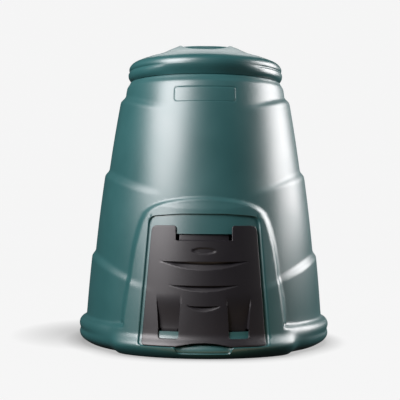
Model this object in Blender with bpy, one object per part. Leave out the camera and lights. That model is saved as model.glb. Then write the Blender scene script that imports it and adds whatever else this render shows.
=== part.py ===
"""Garden compost bin: a tapered moulded body standing open-bottomed on the soil, a lift-off lid,
and a low front hatch that hooks behind the doorway's edges and is slid upwards to free it."""

import math

import bmesh
import bpy
import numpy as np

for old in list(bpy.data.objects):
    bpy.data.objects.remove(old, do_unlink=True)

# Driving sizes, in millimetres. The front, with the hatch, faces -Y, and +Z is up.
HEIGHT = 893.0  # ground to the top of the lid's handle
BASE_DIA = 750.0  # across the beads of the base ring
WALL = 4.0  # moulded wall of the body
LID_WALL = 3.5
HATCH_WALL = 3.6
HATCH_GAP = 1.0  # behind the hatch where it lies on the seat, and behind the edges it hooks under
SIDE_GAP = 9.5  # between the hatch's sides and the edge of its seat
LID_SEAT_GAP = 0.3  # under the lid's lip
HATCH_LIFT = 17.0  # travel that frees the hatch's legs from the sill
SEAT_FOOT, SEAT_TOP = 33.0, 377.0  # heights of the hatch's seat
SEAT_FOOT_HALF, SEAT_TOP_HALF = 176.5, 151.0  # its half widths there
SEAT_LAP = 23.5  # width of the flange that the hatch lies on
SILL, LINTEL = 71.0, 330.0  # lower and upper edges of the doorway

# The shape is drawn at these reference sizes and stretched to the driving ones. Depths aren't.
KR, KZ, MM = BASE_DIA / 750.0, HEIGHT / 893.0, 0.001
RECESS = HATCH_WALL + HATCH_GAP  # depth of the hatch's seat below the doorway surround
HOOK = RECESS + WALL + HATCH_GAP  # depth of the tongue, which passes behind the wall
LEG_HOOK = HOOK + 2.0  # depth of the legs, which pass behind the sill where it leans out
FORWARD = 11.7 * KR  # the front foot reaches out, so the bin's axis stands behind the box's middle
UNROLL = 340.0  # millimetres of a flat sheet for each radian round the bin

LEDGES = ((264.0, 8.0), (504.0, 9.0), (725.0, 10.0))  # height at the sides, and step
LEDGE_SAG = 610.0  # radius of the arc that each ledge follows
LID_SEAT = 778 - LID_SEAT_GAP  # height of the flat of the shoulder, where the lid's lip rests
SHOULDER = ((745, 244), (756, 240.5), (764, 235.5), (770, 230.5), (774, 228.5), (776.4, 227),
            (LID_SEAT - .1, 224.6), (LID_SEAT, 218), (780, 215.6), (783, 215), (800, 215))
RING = ((0, 343), (2, 347.5), (7, 358), (14, 367.5), (22, 372.8), (30, 374), (36, 372.4), (41, 372),
        (48, 374), (55, 375), (62, 374), (70, 369), (76, 362), (84, 354))
FOOT = ((0, 376), (4, 381), (12, 389.5), (22, 397), (30, 399.5), (36, 398.8), (48, 396.4),
        (58, 392.6), (66, 387.4), (71, 383), (76, 380), (84, 378))
FOOT_SPREAD = ((0, 1), (15, .96), (25, .85), (31, .72), (36, .5), (40, .22), (43, .06), (46, 0))
PROUD = ((84, 24), (200, 17), (300, 12), (384, 9), (435, 8))  # how far the surround stands out
ARCH_FOOT = ((250, -40), (234, 76), (226, 153), (217, 192), (210, 255), (203, 300), (192.5, 343),
             (175, 387), (163, 400), (138, 412), (102, 423.5), (67, 428.6), (34, 433))
ARCH_CREST = ((232, -40), (214, 96), (203, 170), (191, 256), (184, 290), (177, 314), (168, 348),
              (154, 376), (137, 395), (112, 405), (76, 412), (38, 417))


def ease(low, high, x):
    t = min(max((x - low) / (high - low), 0.0), 1.0)
    return t * t * (3 - 2 * t)


def along(table, x):
    return float(np.interp(x, [p[0] for p in table], [p[1] for p in table]))


def rounded(corners, radii, steps=4):
    """A closed outline through these corners, each turned with its own radius."""
    out = []
    count = len(corners)
    for i in range(count):
        p = np.array(corners[i], float)
        a = np.array(corners[i - 1], float) - p
        b = np.array(corners[(i + 1) % count], float) - p
        la, lb = np.hypot(*a), np.hypot(*b)
        half = math.acos(np.dot(a, b) / la / lb) / 2
        run = min(radii[i] / math.tan(half), la * .45, lb * .45)
        one, two = p + a / la * run, p + b / lb * run
        for k in range(steps + 1):
            t = k / steps
            out.append((1 - t) ** 2 * one + 2 * t * (1 - t) * p + t * t * two)
    return np.array(out)


def arch(half):
    """The closed outline of an arch from the points of its right side."""
    top = half[-1][1] + 1.5
    return np.array(list(half) + [(0, top)] + [(-x, z) for x, z in reversed(half)], float)


def depth_in(outline, x, z):
    """Distance from an outline, negative inside it."""
    p = np.array((x, z))
    a, b = outline, np.roll(outline, -1, axis=0)
    d = b - a
    t = np.clip(((p - a) * d).sum(1) / (d * d).sum(1), 0, 1)
    far = np.hypot(*(a + d * t[:, None] - p).T).min()
    cross = (a[:, 1] > z) != (b[:, 1] > z)
    at = a[cross, 0] + (z - a[cross, 1]) * d[cross, 0] / d[cross, 1]
    return -far if (at > x).sum() % 2 else far


ARCH_OUT, ARCH_IN = arch(ARCH_FOOT), arch(ARCH_CREST)


def seat_half(z, less=0.0):
    """Half width of the hatch's seat at a height, and of what lies inside its edges."""
    t = (z - SEAT_FOOT) / (SEAT_TOP - SEAT_FOOT)
    return SEAT_FOOT_HALF + (SEAT_TOP_HALF - SEAT_FOOT_HALF) * t - less


def tapered(low, high, less, radii):
    """A rounded outline with the taper of the seat."""
    one, two = seat_half(low, less), seat_half(high, less)
    return rounded(((-one, low), (one, low), (two, high), (-two, high)), radii)


SEAT = rounded(((-SEAT_FOOT_HALF, SEAT_FOOT), (SEAT_FOOT_HALF, SEAT_FOOT), (SEAT_TOP_HALF, SEAT_TOP),
                (60, SEAT_TOP + 6.5), (-60, SEAT_TOP + 6.5), (-SEAT_TOP_HALF, SEAT_TOP)),
               (10, 10, 24, 40, 40, 24))
FINGERS = rounded(((-78, 19), (78, 19), (70, 54), (-70, 54)), (9, 9, 6, 6))
DOOR = tapered(SILL, LINTEL, SEAT_LAP, (8, 8, 10, 10))
HATCH = tapered(SEAT_FOOT + 1.5, SEAT_TOP - HATCH_LIFT - 7.3, SIDE_GAP, (8, 8, 12, 12))


def smooth_r(z):
    return 361 - .075 * z - 1.1e-4 * z * z if z < 745 else along(SHOULDER, z)


def ledge_z(az, z):
    across = smooth_r(z) * math.cos(az)
    return z - (LEDGE_SAG - math.sqrt(LEDGE_SAG ** 2 - across ** 2))


def ledge_step(az, z):
    """The moulded ledges: full at the sides, dying out towards the front and back."""
    from_side = abs(abs(math.degrees(az)) - 90)
    at, step = [98], [0]
    for height, size in LEDGES:
        mid = ledge_z(az, height)
        at += [mid - 10, mid + 10]
        step += [size / 2, -size / 2]
    return (1 - ease(35, 68, from_side)) * float(np.interp(z, at + [770], step + [0]))


def front_x(az, z, proud=True):
    """Distance to the right of the middle, on the doorway surround or on the plain wall under it."""
    if abs(az) > 1.5:
        return math.copysign(500, az)
    if z <= 84:
        return ring_r(az, z) * math.sin(az)
    return (smooth_r(z) + (along(PROUD, z) if proud else 0)) * math.sin(az)


def ring_r(az, z):
    turn = abs(math.degrees(az))
    swell = along(FOOT_SPREAD, turn)
    swell += (1 - swell) * ease(55, 72, z) * (1 - ease(30, 38, turn))
    return along(RING, z) * (1 - swell) + along(FOOT, z) * swell


def skin_r(az, z):
    """Radius of the body's outer face."""
    base = ring_r(az, z)
    if z <= 70:
        return base
    r = smooth_r(z) + ledge_step(az, z)
    valley, crest = front_x(az, z, False), front_x(az, z)
    if z < 440 and abs(crest) < 260:
        out, inner = -depth_in(ARCH_OUT, valley, z), depth_in(ARCH_IN, crest, z)
        rise = 0 if out <= 0 else 1 if inner <= 0 else ease(0, 1, out / (out + inner))
        r += along(PROUD, z) * rise
    t = ease(70, 84, z)
    return base * (1 - t) + r * t


def lean(az, z):
    """How much longer a radial depth is than the same depth square to the skin."""
    return math.hypot(1, (skin_r(az, z + 3) - skin_r(az, max(z - 3, 0))) / 6 * KR / KZ)


def place(az, r, z, sunk=0.0):
    out = r * KR - sunk
    return (out * math.sin(az) * MM, (FORWARD - out * math.cos(az)) * MM, z * KZ * MM)


def scribe(bm, field, snap=1.5, low=-1e9, high=1e9):
    """Cut the faces of a flat sheet along the line where field(x, y) is zero, between two rows."""
    value = {}
    for v in bm.verts:
        d = field(v.co.x, v.co.y)
        if abs(d) < snap and not v.is_boundary and low < v.co.y < high:
            gx = (field(v.co.x + .05, v.co.y) - d) / .05
            gy = (field(v.co.x, v.co.y + .05) - d) / .05
            size = gx * gx + gy * gy
            if size > .1:
                v.co.x -= d * gx / size
                v.co.y -= d * gy / size
                d = 0.0
        value[v] = d
    for e in list(bm.edges):
        a, b = e.verts
        if abs(value[a]) < 1e-6 or abs(value[b]) < 1e-6 or (value[a] > 0) == (value[b] > 0):
            continue
        if min(a.co.y, b.co.y) < low - 1e-4 or max(a.co.y, b.co.y) > high + 1e-4:
            continue
        near, far = 0.0, 1.0
        for _ in range(18):
            mid = (near + far) / 2
            p = a.co.lerp(b.co, mid)
            if (field(p.x, p.y) > 0) == (value[a] > 0):
                near = mid
            else:
                far = mid
        _, new = bmesh.utils.edge_split(e, a, (near + far) / 2)
        value[new] = 0.0
    for f in list(bm.faces):
        on = [v for v in f.verts if abs(value[v]) < 1e-6]
        middle = f.calc_center_median().y
        if len(on) == 2 and low < middle < high and not any(
                set(e.verts) == set(on) for e in f.edges):
            bmesh.utils.face_split(f, on[0], on[1])


def raise_sheet(flat, kind_of, point_of):
    """Lift a flat sheet into place. Where two kinds of face meet at different depths, a wall joins
    them; faces of kind None are left out."""
    bm = bmesh.new()
    made = {}

    def vertex(v, kind):
        p = point_of(v.co.x, v.co.y, kind)
        key = tuple(round(c / MM * 200) for c in p)
        if key not in made:
            made[key] = bm.verts.new(p)
        return made[key]

    def face(verts):
        ring = [v for i, v in enumerate(verts) if v is not verts[i - 1]]
        if len(ring) > 2 and len(set(ring)) == len(ring) and not bm.faces.get(ring):
            bm.faces.new(ring)

    kinds = {}
    for f in flat.faces:
        c = f.calc_center_median()
        kinds[f] = kind_of(c.x, c.y)
    for f in flat.faces:
        if kinds[f]:
            face([vertex(v, kinds[f]) for v in f.verts])
    for e in flat.edges:
        if len(e.link_faces) != 2:
            continue
        one, two = e.link_faces
        if not kinds[one] or not kinds[two] or kinds[one] == kinds[two]:
            continue
        loop = next(k for k in one.loops if k.edge is e)
        a, b = loop.vert, loop.link_loop_next.vert
        face([vertex(b, kinds[one]), vertex(a, kinds[one]),
              vertex(a, kinds[two]), vertex(b, kinds[two])])
    return bm


def grid(columns, rows, height):
    """A flat sheet: the point at column c and row r is (c, height(c, r))."""
    bm = bmesh.new()
    at = [[bm.verts.new((c, height(c, r), 0)) for r in rows] for c in columns]
    for left, right in zip(at, at[1:]):
        for i in range(len(rows) - 1):
            bm.faces.new((left[i], right[i], right[i + 1], left[i + 1]))
    return bm


def thing(name, bm, wall, colour, rough, origin=(0, 0, 0)):
    """An object from its sheet: a moving piece's origin is put on its joint's axis."""
    mesh = bpy.data.meshes.new(name)
    bmesh.ops.translate(bm, verts=bm.verts, vec=[-c for c in origin])
    bm.normal_update()
    bm.to_mesh(mesh)
    mesh.shade_smooth()
    mesh.set_sharp_from_angle(angle=math.radians(40))
    obj = bpy.data.objects.new(name, mesh)
    obj.location = origin
    bpy.context.scene.collection.objects.link(obj)
    shell = obj.modifiers.new("wall", "SOLIDIFY")
    shell.thickness, shell.offset, shell.use_even_offset = wall * MM, -1, True
    shell.use_quality_normals = True
    mat = bpy.data.materials.new(name)
    mat.use_nodes = True
    bsdf = mat.node_tree.nodes["Principled BSDF"]
    bsdf.inputs["Base Color"].default_value = (*colour, 1)
    bsdf.inputs["Roughness"].default_value = rough
    mesh.materials.append(mat)
    return obj


GREEN, DARK = (.035, .115, .115), (.045, .04, .046)

# Body: one moulded shell. Its sheet is drawn unrolled, the surround, the hatch's seat and the
# doorway are scribed on it, and then it is rolled up and given its wall.
front = [math.radians(a) for a in range(-52, 53, 4)]
rest = [math.radians(a) for a in [*np.linspace(52, 90, 6)[1:], *np.linspace(90, 270, 23)[1:],
                                  *np.linspace(270, 308, 6)[1:-1]]]
turns = [*(a - 2 * math.pi for a in rest if a > 3.15), *front, *(a for a in rest if a < 3.14)]
columns = [a * UNROLL for a in (-math.pi, *turns, math.pi)]
rows = [-12, 0, 2, 7, 14, 19, 24, 30, 36, 41, 48, 55, 62, 70, 76, 84, 98]
low = 98
for n, (height, _) in zip((3, 5, 5), LEDGES):
    rows += [("span", low, height, k / n) for k in range(1, n + 1)]
    rows += [("ledge", height, 0, 0), ("ledge", height, 10, 0)]
    low = height
rows += [757, 764, 770, 774, 776.4, LID_SEAT - .1, LID_SEAT, 780, 783, 791, 800]


def row_height(x, row):
    if isinstance(row, (int, float)):
        return row
    az = x / UNROLL
    kind, one, two, part = row
    if kind == "ledge":
        return ledge_z(az, one) + two
    start = 98 if one == 98 else ledge_z(az, one) + 10
    return start + (ledge_z(az, two) - 10 - start) * part


flat = grid(columns, rows, row_height)


def seat_edge(x, z):
    return min(depth_in(SEAT, x, z), depth_in(FINGERS, x, z))


def on_front(outline, proud=True):
    return lambda x, y: depth_in(outline, front_x(x / UNROLL, y, proud), y)


scribe(flat, on_front(ARCH_OUT, False))
scribe(flat, on_front(ARCH_IN))
scribe(flat, lambda x, y: seat_edge(front_x(x / UNROLL, y), y))
scribe(flat, on_front(DOOR))


def body_kind(x, y):
    if on_front(DOOR)(x, y) < 0:
        return None
    return "seat" if seat_edge(front_x(x / UNROLL, y), y) < 0 else "skin"


def body_point(x, y, kind):
    az = x / UNROLL
    if y < 0:
        return place(az, skin_r(az, 0) + y, 0)
    deep = 0.0
    if kind == "seat":
        inside = -depth_in(FINGERS, front_x(az, y), y)
        deep = RECESS * lean(az, y) + 6 * ease(0, 10, inside)
    return place(az, skin_r(az, y), y, deep)


thing("body", raise_sheet(flat, body_kind, body_point), WALL, GREEN, .42)

# Hatch: a curved plate, flush with the surround. Its tongue and two legs pass behind the wall.
TONGUE_TOP, NOTCH_FLOOR = LINTEL + 17, LINTEL - HATCH_LIFT - .5
NOTCH_HALF, TONGUE_HALF = 76.0, 70.5
COLUMN_TOP, COLUMN_FOOT = 171.0, SILL + 6
COLUMN_HEAD, COLUMN_TOE = (59.0, 129.0), (67.0, 121.0)  # inner and outer sides, above and below
LEG_SIDES, LEG_END, WINDOW_FLOOR = (71.0, 117.0), SILL - HATCH_LIFT + 4, SILL - HATCH_LIFT - .5
SMILES = ((120, 257, 247.6, 233.5), (95, 193.6, 189.4, 177), (48, 139.7, 133, 124.8))
PULL = rounded(((-72, 20), (72, 20), (60, 44), (-60, 44)), (1, 1, 12, 12))


def column_side(side, z):
    t = (z - COLUMN_FOOT) / (COLUMN_TOP - COLUMN_FOOT)
    return COLUMN_TOE[side] + (COLUMN_HEAD[side] - COLUMN_TOE[side]) * t


def smile(tip, ends, top, bottom):
    def field(x, z):
        t = (x / tip) ** 2
        upper, lower = top + (ends - top) * t, bottom + (ends - bottom) * t
        return max(z - upper, lower - z)
    return field


smiles = [smile(*s) for s in SMILES]
lips = [smile(tip, ends, top - (top - bottom) * .2, bottom) for tip, ends, top, bottom in SMILES]


def hatch_kind(x, y):
    wide = front_x(x / UNROLL, y)
    side = abs(wide)
    if depth_in(HATCH, wide, y) > 0 or depth_in(PULL, wide, y) < 0:
        return None
    if y > NOTCH_FLOOR and side < NOTCH_HALF:
        return "tongue" if side < TONGUE_HALF and y < TONGUE_TOP else None
    if WINDOW_FLOOR < y < COLUMN_FOOT and COLUMN_TOE[0] < side < COLUMN_TOE[1]:
        return "leg" if LEG_SIDES[0] < side < LEG_SIDES[1] and y > LEG_END else None
    if COLUMN_FOOT < y < COLUMN_TOP and column_side(0, y) < side < column_side(1, y):
        return "column"
    return "plate"


def hatch_point(x, y, kind):
    az = x / UNROLL
    wide = front_x(az, y)
    sunk = 0.0
    if kind == "leg":
        return place(az, skin_r(az, COLUMN_FOOT), y, LEG_HOOK)
    if kind == "tongue":
        sunk = HOOK
    elif kind == "column":
        sunk = LEG_HOOK * (1 - ease(COLUMN_FOOT, COLUMN_TOP, y))
    else:
        for tip, ends, top, bottom in SMILES:
            t = min((wide / tip) ** 2, 1)
            upper, lower = top + (ends - top) * t, bottom + (ends - bottom) * t
            up = (y - lower) / max(upper - lower, .01)
            if 0 < up < 1:
                sunk = 5.0 * (1 - t) * min(up / .8, (1 - up) / .2)
    return place(az, skin_r(az, y), y, sunk)


hatch_columns = [math.radians(a) * UNROLL for a in np.linspace(-32, 32, 27)]
hatch_rows = [28, 36, 41, 48, WINDOW_FLOOR, LEG_END, 64, 70, COLUMN_FOOT, 84, 98, 108, 120, 134, 148,
              160, COLUMN_TOP, 190, 208, 226, 244, 262, 280, 297, NOTCH_FLOOR, LINTEL, TONGUE_TOP, 358]
flat = grid(hatch_columns, hatch_rows, lambda c, r: r)
for field in [lambda x, z: depth_in(HATCH, x, z), lambda x, z: depth_in(PULL, x, z), *smiles, *lips]:
    scribe(flat, lambda x, y, f=field: f(front_x(x / UNROLL, y), y), .8)
for side in (0, 1):
    scribe(flat, lambda x, y, s=side: abs(front_x(x / UNROLL, y)) - column_side(s, y), .8,
           COLUMN_FOOT, COLUMN_TOP)
for half in (*COLUMN_TOE, *LEG_SIDES):
    scribe(flat, lambda x, y, h=half: abs(front_x(x / UNROLL, y)) - h, .8, WINDOW_FLOOR, COLUMN_FOOT)
for half in (NOTCH_HALF, TONGUE_HALF):
    scribe(flat, lambda x, y, h=half: abs(front_x(x / UNROLL, y)) - h, .8, NOTCH_FLOOR, 360)
thing("hatch", raise_sheet(flat, hatch_kind, hatch_point), HATCH_WALL, DARK, .5,
      place(0, skin_r(0, COLUMN_TOP), COLUMN_TOP))

# Lid: a dished cap with a double-beaded rim and a grip bar left between two scoops.
RIM_START, RIM_PITCH = 201.6, 10.0  # where the rim turns down, and its rows' spacing when flat
LID_TOP = ((0, 893), (30, 892.6), (60, 891.2), (75, 890), (95, 884), (119, 872), (140, 863.5),
           (160, 857.5), (180, 852.5), (RIM_START, 848))
LID_RIM = ((210, 843), (222, 836), (228, 826), (232, 817), (229.8, 808.6), (234, 799),
           (232.5, 789), (228.5, 781), (224, 778))
SCOOP_HALF, SCOOP_NEAR, SCOOP_FAR, SCOOP_FLOOR = 75.0, 26.0, 150.0, 849.0


def scoop(x, y):
    """Negative inside a scoop: a D on each side of the grip bar."""
    y = abs(y)
    swept = math.hypot(x / SCOOP_HALF, max(y - SCOOP_NEAR, 0) / (SCOOP_FAR - SCOOP_NEAR)) - 1
    return max(SCOOP_NEAR - y, swept * 60)


def lid_point(x, y, kind):
    r = math.hypot(x, y)
    if r > RIM_START + .1:
        az, row = math.atan2(x, -y), round((r - RIM_START) / RIM_PITCH) - 1
        return place(az, *LID_RIM[row])
    z = along(LID_TOP, r)
    d = -scoop(x, y)
    if d > 0:
        z += (min(SCOOP_FLOOR, z) - z) * ease(0, 12, d)
    return (x * KR * MM, (y * KR + FORWARD) * MM, z * KZ * MM)


flat = bmesh.new()
rings = [p[0] for p in LID_TOP[1:]] + [RIM_START + RIM_PITCH * (k + 1) for k in range(len(LID_RIM))]
COUNT = 60
turned = [[flat.verts.new((r * math.sin(2 * math.pi * k / COUNT),
                           -r * math.cos(2 * math.pi * k / COUNT), 0)) for k in range(COUNT)]
          for r in rings]
hub = flat.verts.new((0, 0, 0))
for k in range(COUNT):
    flat.faces.new((hub, turned[0][k], turned[0][(k + 1) % COUNT]))
    for inner, outer in zip(turned, turned[1:]):
        flat.faces.new((inner[k], outer[k], outer[(k + 1) % COUNT], inner[(k + 1) % COUNT]))
scribe(flat, scoop)
scribe(flat, lambda x, y: scoop(x, y) + 5, 1)
scribe(flat, lambda x, y: scoop(x, y) + 12, 1)
thing("lid", raise_sheet(flat, lambda x, y: "top", lid_point), LID_WALL, GREEN, .42,
      place(0, 0, LID_RIM[-1][1]))
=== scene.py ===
# %% [markdown]
# # A garden compost bin
# The bin is one big moulded shell that stands open-bottomed on the soil, with a lid that lifts off and a
# charcoal hatch low at the front. It is nearly a turned shape, so each piece starts as a spun sheet. What
# is not round - the stepped ledges, the doorway surround, the hatch's folds - is then moved in by
# functions of angle and height, because a moulder's shapes follow rules like that too.

import math

import bmesh
import bpy
import numpy as np
from mathutils import Matrix, Vector


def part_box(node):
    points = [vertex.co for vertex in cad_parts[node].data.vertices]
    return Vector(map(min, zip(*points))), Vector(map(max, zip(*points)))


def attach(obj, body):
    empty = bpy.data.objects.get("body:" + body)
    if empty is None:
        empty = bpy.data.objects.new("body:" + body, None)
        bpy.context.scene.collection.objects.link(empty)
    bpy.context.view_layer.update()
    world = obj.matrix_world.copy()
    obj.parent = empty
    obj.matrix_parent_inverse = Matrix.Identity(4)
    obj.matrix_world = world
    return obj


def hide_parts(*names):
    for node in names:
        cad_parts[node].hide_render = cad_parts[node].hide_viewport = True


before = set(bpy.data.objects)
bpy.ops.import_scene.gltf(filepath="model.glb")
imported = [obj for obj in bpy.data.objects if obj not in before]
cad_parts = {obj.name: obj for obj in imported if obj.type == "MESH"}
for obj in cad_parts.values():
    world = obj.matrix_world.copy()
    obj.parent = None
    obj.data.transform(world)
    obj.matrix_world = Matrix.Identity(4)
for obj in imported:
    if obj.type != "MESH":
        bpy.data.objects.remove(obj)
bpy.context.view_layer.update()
lid_low, lid_high = (Vector(c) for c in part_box("lid"))

# %% [markdown]
# The shapes are worked out in millimetres, seen from the bin's own axis. The lid is round, so the middle
# of its box gives that axis; the body's box doesn't, because the front foot reaches out from it.

# %% Axis and units
MM = 0.001
AXIS_Y = (lid_low.y + lid_high.y) / 2
WALL, LID_WALL, HATCH_WALL = 4.0, 3.5, 3.6
HATCH_GAP = 1.0  # play between the hatch and what it lies on
RECESS = HATCH_WALL + HATCH_GAP  # how deep the hatch's seat is sunk
HOOK = RECESS + WALL + HATCH_GAP  # how deep the tongue lies, behind the body's wall
LEG_HOOK = HOOK + 2.0  # how deep the legs lie, behind the sill
print(f"axis stands {AXIS_Y / MM:.2f} mm behind the middle of the box")

# %% [markdown]
# A soft profile is a list of heights with a radius at each, joined by a curve that never overshoots. That
# is how a draughtsman would fair the beads of the base ring: few points, smooth between them.


# %% Curves
def ease(low, high, x):
    """0 below low, 1 above high, and a smooth climb between."""
    t = np.clip((x - low) / (high - low), 0, 1)
    return t * t * (3 - 2 * t)


def fair(table, x):
    """A smooth curve through the points of a table that stays within its neighbours."""
    px, py = np.array(table, float).T
    step = np.diff(px)
    slope = np.diff(py) / step
    turn = np.zeros(len(px))
    same = slope[1:] * slope[:-1] > 0
    turn[1:-1][same] = 2 * slope[1:][same] * slope[:-1][same] / (slope[1:] + slope[:-1])[same]
    turn[0], turn[-1] = slope[0], slope[-1]
    x = np.clip(x, px[0], px[-1])
    i = np.clip(np.searchsorted(px, x, side="right") - 1, 0, len(step) - 1)
    t = (x - px[i]) / step[i]
    low, high = turn[i] * step[i], turn[i + 1] * step[i]
    return (py[i] * (1 + 2 * t) * (1 - t) ** 2 + low * t * (1 - t) ** 2
            + py[i + 1] * t * t * (3 - 2 * t) + high * t * t * (t - 1))


def rounded(corners, radii, steps=8):
    """A closed outline through these corners, each turned with its own radius."""
    out = []
    for i, corner in enumerate(corners):
        p = np.array(corner, float)
        a = np.array(corners[i - 1], float) - p
        b = np.array(corners[(i + 1) % len(corners)], float) - p
        la, lb = np.hypot(*a), np.hypot(*b)
        half = math.acos(np.dot(a, b) / la / lb) / 2
        run = min(radii[i] / math.tan(half), la * .45, lb * .45)
        one, two = p + a / la * run, p + b / lb * run
        for t in np.linspace(0, 1, steps + 1):
            out.append((1 - t) ** 2 * one + 2 * t * (1 - t) * p + t * t * two)
    return np.array(out)


def depth_in(outline, x, z):
    """Distance from an outline, negative inside it, for whole arrays of points."""
    p = np.stack([np.ravel(x), np.ravel(z)], 1)
    a, b = outline, np.roll(outline, -1, axis=0)
    d = b - a
    size = (d * d).sum(1)
    far = np.full(len(p), 1e9)
    inside = np.zeros(len(p), bool)
    for i in range(len(a)):
        if size[i] < 1e-9:
            continue
        t = np.clip(((p - a[i]) @ d[i]) / size[i], 0, 1)
        far = np.minimum(far, np.hypot(*(a[i] + t[:, None] * d[i] - p).T))
        cross = (a[i, 1] > p[:, 1]) != (b[i, 1] > p[:, 1])
        at = a[i, 0] + (p[:, 1] - a[i, 1]) * d[i, 0] / (d[i, 1] if d[i, 1] else 1)
        inside ^= cross & (at > p[:, 0])
    return np.where(inside, -far, far).reshape(np.shape(x))


print("fair curve check", fair(((0, 0), (1, 1), (2, 1)), np.array([0.5, 1.5])))

# %% [markdown]
# The body's skin is a radius for every angle and height. Angle 0 is the front, and the shape is the same
# on the left and the right. The plain wall is a cone that bulges very slightly.

# %% Plain wall, shoulder and neck
WALL_R, WALL_TAPER, WALL_BULGE = 361.0, .075, 1.1e-4
SHOULDER_FOOT, NECK_FOOT, NECK_TOP, MOUTH = 745.0, 784.0, 796.0, 800.0
SHOULDER = ((745, 243.9), (752, 241.8), (758, 239.6), (764, 235.6), (770, 230.8), (774, 228.5),
            (776.3, 226.6), (777.3, 224.2), (777.7, 218.5), (779, 216.3), (783, 215), (796, 215),
            (799.2, 214.2), (800, 213))


def smooth_r(z):
    wall = WALL_R - WALL_TAPER * z - WALL_BULGE * z * z
    return np.where(z < SHOULDER_FOOT, wall, fair(SHOULDER, z))


print("wall radius at the ground and under the lid", smooth_r(np.array([84.0, 740.0])).round(1))

# %% [markdown]
# Three ledges step round the sides. Each is an arc that is highest at the side and runs downhill to the
# front and the back, where it fades out. At a ledge the wall steps in on its way up. Between two ledges it
# leans in less than the plain cone does, so the tiers never stray far from the cone.

# %% Ledges
LEDGES = ((264.0, 8.5), (504.0, 9.5), (725.0, 11.0))  # height at the side, and step
LEDGE_SAG = 610.0  # radius of the arc that each ledge follows
LEDGE_SOFT = 10.0  # a step is spread over so much above and below its line
LEDGES_FROM, LEDGES_TO = 98.0, 775.0
LEDGE_FADE = (33, 70)  # degrees from the side over which a ledge fades out


def ledge_step(az, z):
    """How far the ledges push the wall out: most just under each line, least just above it."""
    from_side = np.abs(np.abs(np.degrees(az)) - 90)
    out = np.zeros(np.shape(z))
    marks, values = [LEDGES_FROM + 0 * z], [0.0]
    for height, size in LEDGES:
        across = smooth_r(np.array(height)) * np.cos(az)
        mid = height - (LEDGE_SAG - np.sqrt(LEDGE_SAG ** 2 - across ** 2))
        marks += [mid - LEDGE_SOFT, mid + LEDGE_SOFT]
        values += [size / 2, -size / 2]
    marks.append(LEDGES_TO + 0 * z)
    values.append(0.0)
    for i in range(len(values) - 1):
        low, high = marks[i], marks[i + 1]
        t = np.clip((z - low) / (high - low), 0, 1)
        t = t * t * (3 - 2 * t) if i % 2 else t
        out = np.where((z >= low) & (z < high), values[i] + (values[i + 1] - values[i]) * t, out)
    return out * (1 - ease(*LEDGE_FADE, from_side))


print("ledges", [h for h, _ in LEDGES])

# %% [markdown]
# The base ring is a double bead that curls under to the rim it stands on. Under the hatch it swells into
# a foot, which carries the hatch's lower edge and the scoop for the fingers.

# %% Base ring and front foot
RING = ((0, 343), (1, 346.5), (3, 351), (7, 358), (14, 367.3), (22, 372.8), (30, 374.4), (36, 373.2),
        (41, 371.6), (46, 373), (54, 375), (62, 373.8), (68, 370.5), (74, 364.5), (79, 358), (84, 354.4))
RING_FRONT = ((0, 343), (1, 346.5), (3, 351), (7, 358), (14, 367.3), (22, 372.8), (30, 375), (38, 375.6),
              (46, 375.4), (54, 374.6), (62, 372.5), (68, 369.3), (74, 364), (79, 358), (84, 354.4))
FOOT = ((0, 376), (1, 379), (4, 383), (12, 390.5), (22, 397), (30, 399.3), (37, 397.6), (43, 393.8),
        (49, 389), (55, 384.8), (62, 381.9), (72, 379.9), (84, 378))
FOOT_SPREAD = ((0, 1), (22, .99), (30, .96), (35, .9), (38, .77), (40.5, .5), (43, .18), (45, .04), (47, 0))
RING_TOP, RING_FADE = 84.0, 14.0  # over its last part the ring turns into the wall
BEAD_SPLIT = (42, 78)  # degrees from the front over which the bead parts in two
FOOT_MERGE, FOOT_MERGE_TURN = (55, 72), (32, 40)  # heights and degrees where the foot joins the surround
PROUD = ((60, 25.6), (84, 24), (140, 20.5), (200, 17), (300, 12.5), (384, 9.5), (435, 8))


def ring_r(az, z):
    turn = np.abs(np.degrees(az))
    bead = fair(RING, z)
    bead = bead + (fair(RING_FRONT, z) - bead) * (1 - ease(*BEAD_SPLIT, turn))
    swell = fair(FOOT_SPREAD, turn)
    swell = swell + (1 - swell) * ease(*FOOT_MERGE, z) * (1 - ease(*FOOT_MERGE_TURN, turn))
    return bead * (1 - swell) + fair(FOOT, z) * swell


FRONT_TURN, OUT_OF_SIGHT = 1.4, 900.0  # past this angle a point counts as far away from the front


def front_x(az, z, proud=True):
    """Distance to the side, on the doorway surround or on the plain wall under it."""
    plain = smooth_r(z) + (fair(PROUD, z) if proud else 0)
    x = np.where(z <= RING_TOP, ring_r(az, z), plain) * np.sin(az)
    return np.where(np.abs(az) > FRONT_TURN, OUT_OF_SIGHT, x)


print("foot reaches", float(ring_r(np.array(0.0), np.array(30.0))))

# %% [markdown]
# The doorway surround is an arch that stands proud of the wall. Its outline is drawn twice: the valley
# where it meets the wall, and the crest where it is fully out. A point between them climbs smoothly.

# %% Doorway surround
ARCH_VALLEY = ((252, -60), (240, 40), (233, 84), (226, 153), (217, 192), (210, 255), (203, 300),
               (192.5, 343), (184, 368), (175, 387), (163, 401), (138, 413), (102, 423.5), (67, 429.5),
               (34, 433.5))
ARCH_CREST = ((236, -60), (220, 40), (214, 96), (203, 170), (191, 256), (184, 290), (177, 316),
              (168, 348), (161, 366), (153, 380), (138, 395.5), (112, 406.5), (76, 413.5), (38, 417.5))


def arch(half, between=5, peak=1.2):
    """A smooth closed arch from the points of its right side, foot to crown."""
    right = [*half, (0.0, half[-1][1] + peak)]
    points = np.array(right + [(-x, z) for x, z in reversed(half)])
    place = np.arange(len(points))
    fine = np.linspace(0, len(points) - 1, (len(points) - 1) * between + 1)
    return np.stack([fair(list(zip(place, points[:, axis])), fine) for axis in (0, 1)], 1)


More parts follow.
